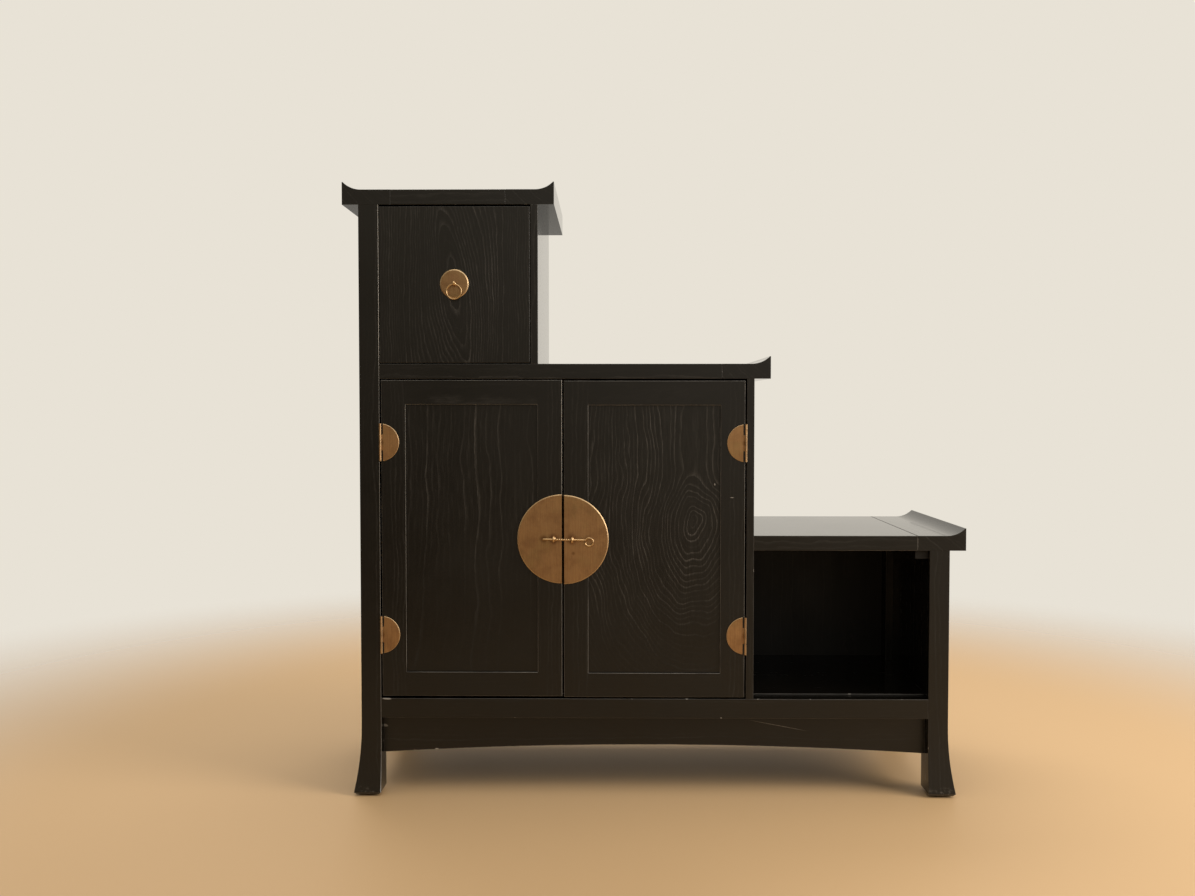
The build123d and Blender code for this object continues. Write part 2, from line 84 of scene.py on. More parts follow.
def setStops(rampNode, stops):
    # stops: (position, grey level or hex colour)
    elements = rampNode.color_ramp.elements
    while len(elements) < len(stops):
        elements.new(0.5)
    for element, (position, level) in zip(elements, stops):
        element.position = position
        element.color = linear(level) if isinstance(level, str) else (level, level, level, 1)
    return rampNode


def addObject(name, data):
    made = bpy.data.objects.new(name, data)
    bpy.context.scene.collection.objects.link(made)
    return made


def dress(node, material):
    nodes[node].data.materials.clear()
    nodes[node].data.materials.append(material)


def finishPiece(name, bm, material, body, replaced, smoothAngle):
    bmesh.ops.recalc_face_normals(bm, faces=bm.faces)
    mesh = bpy.data.meshes.new(name)
    bm.to_mesh(mesh)
    bm.free()
    mesh.materials.append(material)
    for polygon in mesh.polygons:
        polygon.use_smooth = True
    mesh.set_sharp_from_angle(angle=math.radians(smoothAngle))
    piece = addObject(name, mesh)
    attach(piece, body)
    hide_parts(*replaced)


def boxMiddle(node):
    low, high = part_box(node)
    return (low + high) / 2


# camera

cameraView = {
    "lens": 35.0,                      # mm
    "sensor": 36.0,                    # mm wide
    "place": (-0.0746, -2.1136, 0.6577),
    "down": 2.005,                     # degrees below the horizon
    "left": 0.616,                     # degrees turned towards -X
}


def makeCamera(view):
    data = bpy.data.cameras.new("camera")
    data.lens = view["lens"]
    data.sensor_width = view["sensor"]
    camera = addObject("camera", data)
    camera.location = view["place"]
    camera.rotation_euler = (math.radians(90 - view["down"]), 0, math.radians(view["left"]))
    bpy.context.scene.camera = camera


makeCamera(cameraView)
print("camera placed")


# floor, backdrop and light

studio = {
    "backdrop": "#e8e2d6",             # pale warm white behind the chest
    "roomTurn": (-0.5, 0.4),           # along +Y, where the room gives way to the backdrop
    "roomAcross": (-0.25, 0.20),       # along +X, where the dim side gives way to the bright one
    "fill": 0.52,                      # soft light from above
    "fillSide": 0.3,                   # share of it that is left from the sides and below
    "fillUp": (0.05, 0.65),            # along +Z, where the one gives way to the other
    "fillColour": "#fffaf2",
    "floor": "#d0ad80",
    "floorRoughness": 0.6,
    "floorHalf": 3.0,                  # m
    "floorFade": (1.0, 2.3),           # m from the middle, where it fades into the backdrop
}
# what the lacquer mirrors of the room before it, from below the horizon to above it: a brown
# floor, dark furniture and pale walls, dim at the left and lit by windows at the right
roomDim = ((0.36, "#8a6644"), (0.44, "#443422"), (0.475, "#362b1f"), (0.515, "#665c48"),
           (0.55, "#a99a7f"), (0.58, "#bfae90"), (0.70, "#cfc2a8"))
roomBright = ((0.36, "#c8a47c"), (0.44, "#b09878"), (0.475, "#cdbfa6"), (0.51, "#e9dec8"),
              (0.58, "#fff8ea"), (0.70, "#fffaf0"))
backdropUpward = ((0.36, 0.28), (0.44, 0.50), (0.48, 0.9), (0.50, 1.0))
lamps = {
    "window": {"place": (2.5, -1.2, 1.6), "size": (1.5, 1.9), "power": 60, "colour": "#fff6ea"},
    "ceiling": {"place": (0.2, -0.4, 2.9), "size": (2.6, 2.0), "power": 20, "colour": "#fffaf2"},
    "rear": {"place": (-0.3, 1.25, 2.5), "size": (2.2, 0.9), "power": 26, "colour": "#fffaf2"},
}


def makeWorld(look):
    world = bpy.data.worlds.new("studio")
    world.use_nodes = True
    tree = world.node_tree
    tree.nodes.clear()
    way = addNode(tree, "TexCoord").outputs["Generated"]
    along = addNode(tree, "SeparateXYZ", (way,)).outputs
    up = addNode(tree, "Math", (along["Z"], 0.5, 0.5), operation="MULTIPLY_ADD")
    dim, bright, behind = (setStops(addNode(tree, "ValToRGB", {"Fac": up}), stops)
                           for stops in (roomDim, roomBright, backdropUpward))
    across, turn = (addNode(tree, "MapRange", (along[axis], *look[key]), **smooth)
                    for axis, key in (("X", "roomAcross"), ("Y", "roomTurn")))
    room = addNode(tree, "Mix", {"Factor": across, 6: dim, 7: bright}, data_type="RGBA")

    # the camera sees the backdrop as it is, and the lacquer sees it darker below the horizon
    rays = addNode(tree, "LightPath").outputs
    mirrored = addNode(tree, "Math", (1.0, rays["Is Camera Ray"]), operation="SUBTRACT")
    backdrop = addNode(tree, "Mix", {"Factor": mirrored, 6: linear(look["backdrop"]), 7: behind},
                       data_type="RGBA", blend_type="MULTIPLY")
    turnedAway = addNode(tree, "Math", (turn, rays["Is Camera Ray"]), operation="MAXIMUM")
    seen = addNode(tree, "Mix", {"Factor": turnedAway, 6: room, 7: backdrop}, data_type="RGBA")
    showsRoom = rays["Is Camera Ray"]
    for kind in ("Is Glossy Ray", "Is Transmission Ray"):
        showsRoom = addNode(tree, "Math", (showsRoom, rays[kind]), operation="MAXIMUM")
    fromAbove = addNode(tree, "MapRange", (
        along["Z"], *look["fillUp"], look["fillSide"] * look["fill"], look["fill"]), **smooth)
    fill = addNode(tree, "Background", {"Color": linear(look["fillColour"]), "Strength": fromAbove})
    shown = addNode(tree, "Background", {"Color": seen, "Strength": 1.0})
    both = addNode(tree, "MixShader", (showsRoom, fill, shown))
    addNode(tree, "OutputWorld", {"Surface": both})
    bpy.context.scene.world = world


def makeFloor(look):
    # matt paint, so that it takes the shadow and mirrors nothing; it fades out before its edges
    material, tree = newMaterial("paleFloor")
    place = addNode(tree, "TexCoord").outputs["Object"]
    away = addNode(tree, "VectorMath", (place,), operation="LENGTH")
    fade = addNode(tree, "MapRange", (away, *look["floorFade"]), **smooth)
    paint = addNode(tree, "BsdfPrincipled", {
        "Base Color": linear(look["floor"]), "Roughness": look["floorRoughness"]})
    clear = addNode(tree, "BsdfTransparent")
    mixed = addNode(tree, "MixShader", (fade, paint, clear))
    addNode(tree, "OutputMaterial", {"Surface": mixed})
    half = look["floorHalf"]
    mesh = bpy.data.meshes.new("floor")
    mesh.from_pydata([(-half, -half, 0), (half, -half, 0), (half, half, 0), (-half, half, 0)], [],
                     [(0, 1, 2, 3)])
    mesh.materials.append(material)
    floor = addObject("floor", mesh)


def makeLamp(name, look, target):
    data = bpy.data.lights.new(name, "AREA")
    data.shape = "RECTANGLE"
    data.size, data.size_y = look["size"]
    data.energy = look["power"]
    data.color = linear(look["colour"])[:3]
    lamp = addObject(name, data)
    lamp.location = look["place"]
    lamp.rotation_euler = (target - Vector(look["place"])).to_track_quat("-Z", "Y").to_euler()


makeWorld(studio)
makeFloor(studio)
chestMiddle = Vector((0, 0, 0.5))
for name, look in lamps.items():
    makeLamp(name, look, chestMiddle)
bpy.context.scene.view_settings.view_transform = "Standard"
print("studio ready")


# black lacquer over open-grained ash

figureInputs = ("Lean", "Up", "Down", "Reach", "Ring", "Band", "Warp", "Choosy")
openGrain = {
    # noises: cycles per metre across, across and along the grain, detail and roughness
    "noises": {"wander": ((14, 14, 6.0), 2.0, 0.5), "waver": ((62, 62, 30), 3.0, 0.6),
               "pores": ((620, 620, 45), 2.0, 0.5), "streaks": ((24, 24, 7), 3.0, 0.6)},
    "waver": 5.5,                      # mm
    "leaning": (0.01, 0.08),           # m beside the heart, over which its lean dies out
    "turning": 0.02,                   # m above and below the heart, over which Down turns to Up
    "closing": 0.04,                   # m, over which the rings turn upright at their Reach
    "ring": ((0.0, 0.0), (0.12, 1.0), (0.42, 0.55), (0.8, 0.08), (1.0, 0.0)),    # depth over a band
    "faintest": 0.12,                  # share of the weakest ring
    # pores are 0.3 mm wide on real ash; drawn 1.6 mm wide and 22 mm long, so that they show
    "pored": (0.40, 0.64),             # noise levels between which a pore deepens
    "unpored": 0.45,                   # share of a ring line that is left between its pores
    "scattered": 0.06,                 # depth of the pores off the ring lines
}


def makeGrainGroup(look):
    # growth rings as distances from a drawn-out heart, with pores in each ring's early wood
    group = bpy.data.node_groups.new("openGrain", "ShaderNodeTree")
    group.interface.new_socket("Vector", in_out="INPUT", socket_type="NodeSocketVector")
    for name in figureInputs:
        group.interface.new_socket(name, in_out="INPUT", socket_type="NodeSocketFloat")
    for name in ("Grain", "Streaks"):
        group.interface.new_socket(name, in_out="OUTPUT", socket_type="NodeSocketFloat")
    given = addNode(group, "NodeGroupInput").outputs
    noises = {}
    for name, (cycles, detail, roughness) in look["noises"].items():
        at = addNode(group, "VectorMath", (given["Vector"], cycles), operation="MULTIPLY")
        noises[name] = addNode(group, "TexNoise", {
            "Vector": at, "Scale": 1.0, "Detail": detail, "Roughness": roughness})

    # rings wander slowly, and waver finely
    warped = given["Vector"]
    for name, amount in (("wander", given["Warp"]), ("waver", look["waver"] * mm)):
        sway = addNode(group, "VectorMath", (noises[name].outputs["Color"], (0.5,) * 3), operation="SUBTRACT")
        sway = addNode(group, "VectorMath", {0: sway, "Scale": amount}, operation="SCALE")
        warped = addNode(group, "VectorMath", (warped, sway), operation="ADD")
    at = addNode(group, "SeparateXYZ", (warped,)).outputs

    # the heart leans, but the rings further out stand straight
    beside = addNode(group, "Math", (at["X"],), operation="ABSOLUTE")
    near = addNode(group, "MapRange", (beside, *look["leaning"], 1.0, 0.0), **smooth)
    lean = addNode(group, "Math", (at["Z"], given["Lean"]), operation="MULTIPLY")
    lean = addNode(group, "Math", (lean, near), operation="MULTIPLY")
    x = addNode(group, "Math", (at["X"], lean), operation="ADD")

    # drawn out along the grain, by Up above the heart and by Down below it, and upright past Reach
    stretch = addNode(group, "MapRange", (
        at["Z"], -look["turning"], look["turning"], given["Down"], given["Up"]), **smooth)
    closing = addNode(group, "Math", (at["Z"], given["Reach"], look["closing"]), operation="SMOOTH_MIN")
    z = addNode(group, "Math", (closing, stretch), operation="MULTIPLY")
    flat = addNode(group, "CombineXYZ", (x, at["Y"], z))
    radius = addNode(group, "VectorMath", (flat,), operation="LENGTH")

    # each ring has its band of early wood, and some rings show more than others
    rings = addNode(group, "Math", (radius, given["Ring"]), operation="DIVIDE")
    share = addNode(group, "Math", (rings,), operation="FRACT")
    inRing = addNode(group, "Math", (share, given["Ring"]), operation="MULTIPLY")
    inBand = addNode(group, "Math", (inRing, given["Band"]), operation="DIVIDE")
    early = setStops(addNode(group, "ValToRGB", {"Fac": inBand}), look["ring"])
    number = addNode(group, "Math", (rings,), operation="FLOOR")
    lot = addNode(group, "TexWhiteNoise", {"W": number}, noise_dimensions="1D")
    chosen = addNode(group, "Math", (lot, given["Choosy"]), operation="POWER")
    weight = addNode(group, "MapRange", (chosen, 0.0, 1.0, look["faintest"]))
    lines = addNode(group, "Math", (early, weight), operation="MULTIPLY")

    pores = addNode(group, "MapRange", (noises["pores"], *look["pored"]), **smooth)
    porous = addNode(group, "MapRange", (pores, 0.0, 1.0, look["unpored"]))
    lines = addNode(group, "Math", (lines, porous), operation="MULTIPLY")
    grain = addNode(group, "Math", (pores, look["scattered"], lines),
                    operation="MULTIPLY_ADD", use_clamp=True)
    addNode(group, "NodeGroupOutput", {"Grain": grain, "Streaks": noises["streaks"]})
    return group


grainGroup = makeGrainGroup(openGrain)
grainTurns = {"Z": (0, 0, 0), "X": (0, 90, 0), "Y": (-90, 0, 0)}    # turn the grain onto an axis
plainFigure = {"lean": 0.0, "up": 0.05, "down": 0.05, "reach": 1.0, "ring": 5.0, "band": 2.4,
               "warp": 16, "choosy": 2.0}
lacquer = {
    "film": "#0b0906",                 # black lacquer, a little brown where it is thin
    "pore": "#75716b",                 # pores and ring lines: pale old polish in them, lightened further as a painted sheen of the light they catch
    "worn": "#c2bcb3",                 # ground and pale wood where an arris has rubbed through
    "dust": "#b7b0a4",                 # thin dust on what faces up
    "ior": 1.43,
    "roughness": 0.32,                 # satin film
    "smudged": (-0.05, 0.06),          # change of it from cloud to cloud
    "poreRoughness": 0.55,
    "grazing": 0.16,                   # share of the roughness that is left at a glancing view
    "grainDepth": 0.05,                # mm
    "hidden": 0.10,                    # share of the ring lines and their painted sheen that is left past the strongest place's reach
    # noises: cycles per metre, and the levels between which each comes up to its full share
    "rubbed": (22.0, 0.50, 0.72),      # an arris goes bare
    "chipped": (75.0, 0.68, 0.72),     # it is knocked
    "thinned": (9.0, 0.20, 0.62),      # the film is thin along it
    "handled": (8.0, 0.05, 0.40),      # hands have rubbed it bare
    "scuffed": (190.0, 0.50, 0.70),    # mop marks near the floor
    "dusted": (5.0, 0.25, 0.80),       # dust lies
    "handsReach": (-0.05, 0.03),       # m below and above wornFrom, over which the hands' wear comes up
    "mopReach": (0.020, 0.004),        # m above the floor, over which the mop marks come up
    "mopShare": 0.22,
    "torn": (350.0, 1.6),              # a knock's outline: cycles per metre, and mm to and fro
    "knockDeep": 3.0,                  # mm that a knock reaches round the edge of a front
    "openJoint": 1.0,                  # mm to each side; real ones are finer, and this one shows
}


def grainFigure(tree, grain, heart, figure):
    # rings around a heart at a given place, in the Object coordinates of the piece
    place = addNode(tree, "TexCoord").outputs["Object"]
    turn = tuple(math.radians(angle) for angle in grainTurns[grain])
    local = addNode(tree, "Mapping", {"Vector": place, "Location": tuple(heart), "Rotation": turn},
                    vector_type="TEXTURE")
    inputs = {name: figure[name.lower()] * (mm if name in ("Ring", "Band", "Warp") else 1)
              for name in figureInputs}
    wood = addNode(tree, "Group", {"Vector": local, **inputs}, node_tree=grainGroup)
    return place, wood.outputs


# a unit normal's part along an axis, from where a face begins to count to where it does in full
slopes = {"arris": (0.96, 0.88), "bent": (0.12, 0.3), "inner": (0.15, 0.35), "level": (0.8, 0.98),
          "bevel": (0.97, 0.85)}


def arrisMask(tree, normal, curved):
    # on square-cut wood only the eased edges face no axis squarely; a curved board's own bend is
    # kept out by asking for a slope towards Y
    size = addNode(tree, "VectorMath", (normal,), operation="ABSOLUTE")
    sides = addNode(tree, "SeparateXYZ", (size,)).outputs
    largest = sides["Y" if curved else "X"]
    if not curved:
        for axis in "YZ":
            largest = addNode(tree, "Math", (largest, sides[axis]), operation="MAXIMUM")
    eased = addNode(tree, "MapRange", (largest, *slopes["arris"]))
    if not curved:
        return eased
    sloped = addNode(tree, "MapRange", (sides["Y"], *slopes["bent"]))
    return addNode(tree, "Math", (sloped, eased), operation="MULTIPLY")


def lacqueredWood(name, grain="Z", heart=(0, 0, 0), curved=False, thin=0.1, wear=0.12, wornFrom=None,
                  scuffed=False, dusty=0.0, show=0.09, strongest=None, knocks=(), seam=None,
                  look=lacquer, **figure):
    # satin black lacquer brushed over open-pored ash: the ring lines are pale, partly from old polish in the
    # grooves and partly as a painted sheen;
    # the film is glossier at a glance, thin along the arrises, and rubbed or knocked off in places
    material, tree = newMaterial(name)
    place, wood = grainFigure(tree, grain, heart, {**plainFigure, **figure})
    at = addNode(tree, "SeparateXYZ", (place,)).outputs
    normal = addNode(tree, "NewGeometry").outputs["Normal"]
    facing = addNode(tree, "SeparateXYZ", (normal,)).outputs
    shares = {"rubbed": wear, "chipped": min(1.0, 5 * wear), "thinned": thin,
              "handled": 1.0 if wornFrom else 0, "scuffed": look["mopShare"] if scuffed else 0,
              "dusted": dusty}
    spots = {}
    for spot, share in shares.items():
        if share:
            cycles, low, high = look[spot]
            cloud = addNode(tree, "TexNoise", {
                "Vector": place, "Scale": cycles, "Detail": 3.0, "Roughness": 0.6})
            spots[spot] = addNode(tree, "MapRange", (cloud, low, high, 0.0, share), **smooth)

    # the lines show in slow streaks; their lightness is partly grain colour and partly a painted sheen
    lineShowAndSheen = addNode(tree, "MapRange", (wood["Streaks"], 0.36, 0.66, 0.2 * show, show))
    lines = addNode(tree, "Math", (wood["Grain"], lineShowAndSheen), operation="MULTIPLY")
    if strongest:                      # a place and a reach, past which the lines and their painted sheen fade to the hidden share
        spot, reach = strongest
        far = addNode(tree, "VectorMath", (place, tuple(spot)), operation="DISTANCE")
        close = addNode(tree, "MapRange", (far, reach * mm, 0.45 * reach * mm, look["hidden"]), **smooth)
        lines = addNode(tree, "Math", (lines, close), operation="MULTIPLY")

    bare = spots["rubbed"]
    for spot in ("chipped", "thinned"):
        bare = addNode(tree, "Math", (bare, spots[spot]), operation="MAXIMUM")
    if wornFrom:                       # above this height hands have rubbed its inner arris bare
        below, over = look["handsReach"]
        above = addNode(tree, "MapRange", (at["Z"], wornFrom + below, wornFrom + over, 0.4), **smooth)
        inner = addNode(tree, "MapRange", (facing["X"], *slopes["inner"]))
        hands = addNode(tree, "Math", (above, inner), operation="MULTIPLY")
        hands = addNode(tree, "Math", (hands, spots["handled"]), operation="MULTIPLY")
        bare = addNode(tree, "Math", (bare, hands), operation="MAXIMUM")
    bare = addNode(tree, "Math", (arrisMask(tree, normal, curved), bare), operation="MULTIPLY")
    if scuffed:
        high, low = look["mopReach"]
        marks = addNode(tree, "MapRange", (at["Z"], high, low))
        marks = addNode(tree, "Math", (marks, spots["scuffed"]), operation="MULTIPLY")
        bare = addNode(tree, "Math", (bare, marks), operation="MAXIMUM")
    if knocks:
        cycles, fro = look["torn"]
        ragged = addNode(tree, "TexNoise", {"Vector": place, "Scale": cycles})
        shift = addNode(tree, "VectorMath", (
            ragged.outputs["Color"], (fro * mm,) * 3, (-0.5 * fro * mm,) * 3), operation="MULTIPLY_ADD")
        torn = addNode(tree, "VectorMath", (place, shift), operation="ADD")
    for x, y, z, halfLong, halfHigh, tilt, share in knocks:
        within = addNode(tree, "Mapping", {
            "Vector": torn, "Location": (x * mm, y, z * mm), "Rotation": (0, math.radians(tilt), 0),
            "Scale": (halfLong * mm, look["knockDeep"] * mm, halfHigh * mm)}, vector_type="TEXTURE")
        away = addNode(tree, "VectorMath", (within,), operation="LENGTH")
        knock = addNode(tree, "MapRange", (away, 1.0, 0.6, 0.0, share))
        bare = addNode(tree, "Math", (bare, knock), operation="MAXIMUM")

    layers = [(lines, "pore"), (bare, "worn")]
    if dusty:
        level = addNode(tree, "MapRange", (facing["Z"], *slopes["level"]))
        dust = addNode(tree, "Math", (level, spots["dusted"]), operation="MULTIPLY")
        layers.append((dust, "dust"))
    colour = linear(look["film"])
    for share, tone in layers:
        colour = addNode(tree, "Mix", {"Factor": share, 6: colour, 7: linear(look[tone])}, data_type="RGBA")

    smudge = addNode(tree, "TexNoise", {"Vector": place, "Scale": 6.5, "Detail": 4.0, "Roughness": 0.6})
    less, more = look["smudged"]
    film = addNode(tree, "MapRange", (smudge, 0.3, 0.7, look["roughness"] + less, look["roughness"] + more))
    rough = addNode(tree, "Mix", {"Factor": wood["Grain"], 2: film, 3: look["poreRoughness"]})
    glance = addNode(tree, "LayerWeight", {"Blend": 0.5}).outputs["Facing"]
    glossier = addNode(tree, "MapRange", (glance, 0.55, 0.97, 1.0, look["grazing"]))
    rough = addNode(tree, "Math", (rough, glossier), operation="MULTIPLY")
    grooves = addNode(tree, "Bump", {
        "Height": wood["Grain"], "Distance": look["grainDepth"] * mm, "Strength": 0.8}, invert=True)
    skin = addNode(tree, "BsdfPrincipled", {
        "Base Color": colour, "Roughness": rough, "IOR": look["ior"], "Normal": grooves})
    if seam is not None:               # a joint that has opened on the upper face loses its gloss
        across = addNode(tree, "Math", (at["X"], seam, look["openJoint"] * mm), operation="COMPARE")
        upward = addNode(tree, "Math", (facing["Z"], slopes["level"][0]), operation="GREATER_THAN")
        opened = addNode(tree, "Math", (across, upward), operation="MULTIPLY")
        gloss = addNode(tree, "Math", (opened, -0.5, 0.5), operation="MULTIPLY_ADD")
        tree.links.new(gloss.outputs[0], skin.inputs["Specular IOR Level"])
    addNode(tree, "OutputMaterial", {"Surface": skin})
    return material


def farHeart(node, grain, away):
    # heart far off in mm, at a slant, so that the rings cross every face as nearly straight lines
    slant = 0.7 * away
    side = {"Z": (slant, slant, -60), "X": (40, slant, slant), "Y": (slant, 60, slant)}[grain]
    return boxMiddle(node) + Vector(side) * mm


# the three figured fronts: where the heart lies from the board's middle, in mm, how the rings lean
# and close above and below it, and how wide they are
figuredFronts = {
    "drawer_front": {"heart": (-1, 0, -2), "lean": 0.17, "up": 0.20, "down": 0.20, "ring": 4.4,
                     "band": 2.4, "warp": 20, "choosy": 1.0, "show": 0.34},
    "left_door_panel": {"heart": (-131, 0, 90), "up": 0.03, "down": 0.16, "ring": 9.3, "band": 4.4,
                        "warp": 36, "choosy": 5.0, "show": 0.47, "strongest": (60, 0, 160, 280)},
    "right_door_panel": {"heart": (69, 0, 31), "up": 0.80, "down": 0.57, "reach": 0.06, "ring": 5.8,
                         "band": 2.3, "warp": 50, "choosy": 1.2, "show": 0.68,
                         "strongest": (-35, 0, 80, 300)},
}
polished = {**lacquer, "grainDepth": 0.02}
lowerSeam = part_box("lower_board_end")[0].x
top = {"dusty": 0.07, "show": 0.2, "look": polished}
upturned = {"curved": True, **top}
framed = {"thin": 0.45}
edged = {"thin": 0.16, "wear": 0.2}
plainBoards = {
    "Z": {"leg_front_left": {"wornFrom": 0.74, "scuffed": True},
          "leg_front_right": {"scuffed": True}, "leg_back_left": {"scuffed": True},
          "leg_back_right": {"scuffed": True}, "left_side_panels": {"show": 0.4},
          "right_side_panel": {"show": 0.4}, "divider_board": edged,
          "upper_side_board": {"show": 0.4}, "left_door_hinge_stile": framed,
          "left_door_meeting_stile": {**framed, "wornFrom": 0.53}, "right_door_hinge_stile": framed,
          "right_door_meeting_stile": framed},
    "X": {"front_bottom_rail": edged, "back_bottom_rail": {}, "front_apron": {"thin": 0.3, "wear": 0.4},
          "middle_board": top, "top_board": top, "lower_board": {**top, "thin": 0.3, "seam": lowerSeam},
          "left_door_rails": framed, "right_door_rails": framed, "floor_board": edged,
          "cabinet_shelf": {}},
    "Y": {"left_side_rails": {}, "right_side_rails": {}, "left_apron": {}, "right_apron": {},
          "middle_board_end": upturned, "top_board_end_left": upturned,
          "top_board_end_right": upturned, "lower_board_end": {**upturned, "seam": lowerSeam}},
}


# knocks and scratches on the fronts: x, z, half length, half height in mm, tilt in degrees, and how
# far the film is gone
knocks = {
    "front_bottom_rail": ((-452, 165.5, 9, 2.0, 4, 0.6), (55, 166.8, 3.5, 1.6, 0, 0.9),
                          (175, 166.8, 2, 1.4, 0, 0.8), (263, 166.8, 2.5, 1.3, 0, 0.7),
                          (417, 166.8, 2.2, 1.4, 0, 0.8), (113, 133.5, 1.6, 1.6, 0, 0.7)),
    "front_apron": ((-458.5, 114.5, 5.5, 2.6, 12, 0.4), (-370.5, 73.5, 4, 2.2, -4, 1.0),
                    (211, 116, 54, 0.6, 10.7, 0.25)),
    "right_door_panel": ((101.5, 528.5, 1.5, 2.0, 0, 0.5),),
    "right_door_hinge_stile": ((130, 506.5, 3.8, 0.9, 0, 0.45),),
    "lower_board_end": ((lowerSeam / mm, boxMiddle("lower_board").z / mm, 0.9, 14, 0, 0.3),),
}


def knocksOn(node):
    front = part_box(node)[0].y
    return [(x, front, *rest) for x, *rest in knocks.get(node, ())]


def dressBoards():
    for node, figure in figuredFronts.items():
        heart = boxMiddle(node) + Vector(figure["heart"]) * mm
        settings = {key: value for key, value in figure.items() if key != "heart"}
        if "strongest" in settings:
            x, y, z, reach = settings["strongest"]
            settings["strongest"] = (boxMiddle(node) + Vector((x, y, z)) * mm, reach)
        dress(node, lacqueredWood(node + "_lacquer", heart=heart, knocks=knocksOn(node), **settings))
    for grain, boards in plainBoards.items():
        for index, (node, settings) in enumerate(boards.items()):
            heart = farHeart(node, grain, 170 + 23 * index)
            dress(node, lacqueredWood(node + "_lacquer", grain=grain, heart=heart,
                                      knocks=knocksOn(node), ring=4.6 + 0.3 * (index % 4),
                                      **settings))


dressBoards()
print("boards dressed")


# hidden inner wood and the back panels

innerWood = {"stain": "#2e2219", "line": "#51402f", "roughness": 0.7, "ring": 6.5, "depth": 0.15,
             "ior": 1.5}
backPaint = {"stain": "#0e0c0a", "line": "#221e1b", "roughness": 0.55, "ring": 9.0, "depth": 0.12,
             "ior": 1.35}


def stainedWood(name, grain, look):
    # thin dark stain with no film over it, so it stays matt and shows its lines
    material, tree = newMaterial(name)
    wood = grainFigure(tree, grain, (0.4, 0.1, 0.2), {**plainFigure, "ring": look["ring"]})[1]
    colour = addNode(tree, "Mix", {
        "Factor": wood["Grain"], 6: linear(look["stain"]), 7: linear(look["line"])}, data_type="RGBA")
    uneven = addNode(tree, "MapRange", (
        wood["Streaks"], 0.0, 1.0, look["roughness"] - 0.1, look["roughness"] + 0.1))
    grooves = addNode(tree, "Bump", {
        "Height": wood["Grain"], "Distance": look["depth"] * mm, "Strength": 0.6}, invert=True)
    skin = addNode(tree, "BsdfPrincipled", {
        "Base Color": colour, "Roughness": uneven, "IOR": look["ior"], "Normal": grooves})
    addNode(tree, "OutputMaterial", {"Surface": skin})
    return material


backPanels = ("upper_back_panel", "cabinet_back_panel", "compartment_back_panel")
innerAlongX = stainedWood("stainedPineAcross", "X", innerWood)
innerAlongY = stainedWood("stainedPineDeep", "Y", innerWood)
backPanelPaint = stainedWood("paintedPlyBack", "Z", backPaint)
for node in ("floor_batten", "drawer_back", "door_stop", "drawer_stop"):
    dress(node, innerAlongX)
dress("lower_board_cleat", stainedWood("paintedCleat", "Y", backPaint))
for node in ("shelf_cleats", "drawer_runners", "drawer_sides", "drawer_bottom"):
    dress(node, innerAlongY)
for node in backPanels:
    dress(node, backPanelPaint)


# aged brass

brass = {
    "metal": "#a5835c",
    "brown": "#7a5a40",                # thin brown tarnish
    "olive": "#8c7a52",                # greener tarnish
    "rim": "#dcc5a0",                  # painted highlight along the bevels
    "dark": "#5e3c24",                 # reddish grime where fingers and a cloth don't reach
    "grimeShare": 0.6,
    "roughness": 0.43,
    "uneven": (-0.06, 0.08),           # change of it from streak to streak
    # tarnish in soft clouds: cycles per metre, the levels between which it comes up, and its share
    "clouds": {"brown": (34.0, 0.40, 0.70, 0.5), "olive": (22.0, 0.50, 0.70, 0.4)},
    "brushed": (650, 650, 24),         # marks: cycles per metre across, across and along
    "unbrushed": (320, 320, 320),
    "streaked": 0.4,                   # share of brown in the brush marks
}


def agedBrass(name, look=brass, brushed=True, grime=()):
    # rolled sheet brushed up and down, tarnished in clouds, with a painted highlight along its bevels
    # grime: (place, reach in mm) of dark halos
    material, tree = newMaterial(name)
    place = addNode(tree, "TexCoord").outputs["Object"]
    layers = []                        # (share, colour), from the metal outwards
    for tarnish, (cycles, low, high, share) in look["clouds"].items():
        cloud = addNode(tree, "TexNoise", {
            "Vector": place, "Scale": cycles, "Detail": 4.0, "Roughness": 0.6})
        layers.append((addNode(tree, "MapRange", (cloud, low, high, 0.0, share), **smooth), tarnish))
    along = addNode(tree, "VectorMath", (place, look["brushed" if brushed else "unbrushed"]),
                    operation="MULTIPLY")
    brush = addNode(tree, "TexNoise", {"Vector": along, "Scale": 1.0, "Detail": 3.0, "Roughness": 0.6})
    streak = addNode(tree, "MapRange", (brush, 0.35, 0.7, 0.0, look["streaked"]))
    layers.append((streak, "brown"))
    for spot, reach in grime:
        far = addNode(tree, "VectorMath", (place, tuple(spot)), operation="DISTANCE")
        halo = (far, reach * mm, 0.3 * reach * mm, 0.0, look["grimeShare"])
        layers.append((addNode(tree, "MapRange", halo, **smooth), "dark"))
    # painted highlight: a paler colour where the surface turns away from the front, on bevels and round wire
    normal = addNode(tree, "NewGeometry").outputs["Normal"]
    slope = addNode(tree, "SeparateXYZ", (normal,)).outputs["Y"]
    front = addNode(tree, "Math", (slope,), operation="ABSOLUTE")
    bright = addNode(tree, "MapRange", (front, *slopes["bevel"], 0.0, 0.4 if brushed else 0.3))
    layers.append((bright, "rim"))
    tone = linear(look["metal"])
    for share, colour in layers:
        tone = addNode(tree, "Mix", {"Factor": share, 6: tone, 7: linear(look[colour])}, data_type="RGBA")
    less, more = look["uneven"]
    rough = addNode(tree, "MapRange", (brush, 0.3, 0.7, look["roughness"] + less, look["roughness"] + more))
    grooves = addNode(tree, "Bump", {"Height": brush, "Distance": 0.03 * mm, "Strength": 0.4})
    skin = addNode(tree, "BsdfPrincipled", {
        "Base Color": tone, "Metallic": 1.0, "Roughness": rough, "Normal": grooves})
    addNode(tree, "OutputMaterial", {"Surface": skin})
    return material


